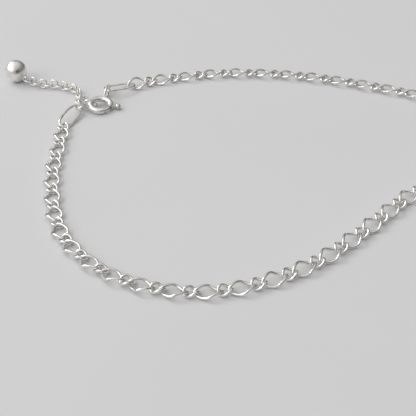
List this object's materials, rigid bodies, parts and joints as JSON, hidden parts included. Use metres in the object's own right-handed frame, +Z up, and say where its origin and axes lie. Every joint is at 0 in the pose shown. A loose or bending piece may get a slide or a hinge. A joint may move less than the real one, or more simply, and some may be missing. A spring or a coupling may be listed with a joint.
{
  "type": "chain anklet",
  "caption": "Fine silver chain anklet lying closed in a loop: long and round curb links in turn, a spring-ring clasp with a sliding trigger, and a short extender ending in a ball.",
  "frame": {"origin": "on the resting surface, under the middle of the anklet's bounding box", "axes": "+X along the anklet's longest extent, to the right in the picture; +Y away from the camera; +Z up"},
  "size_m": [0.0991, 0.0804, 0.0048],
  "materials": {
    "silver": "polished",
    "dull_silver": "satin"
  },
  "bodies": {
    "anklet": {"chain_1": "silver", "chain_2": "silver", "chain_3": "silver", "chain_4": "silver", "chain_5": "silver", "chain_6": "silver", "chain_7": "silver", "chain_8": "silver", "chain_9": "silver", "oval_ring_left": "silver", "oval_ring_right": "silver", "junction_link": "silver", "hook_link": "silver", "spring_ring": "silver", "extender_chain": "silver", "end_ball": "silver"},
    "trigger": {"trigger": "dull_silver"}
  },
  "joints": [
    {"name": "trigger_slide", "type": "hinge", "parent": "anklet", "child": "trigger", "pos_m": [-0.02798, 0.02301, 0.00102], "axis": [0.0865, -0.1219, 0.9888], "range_deg": [0, 48], "stiffness_Nm_per_rad": 0.00002}
  ]
}
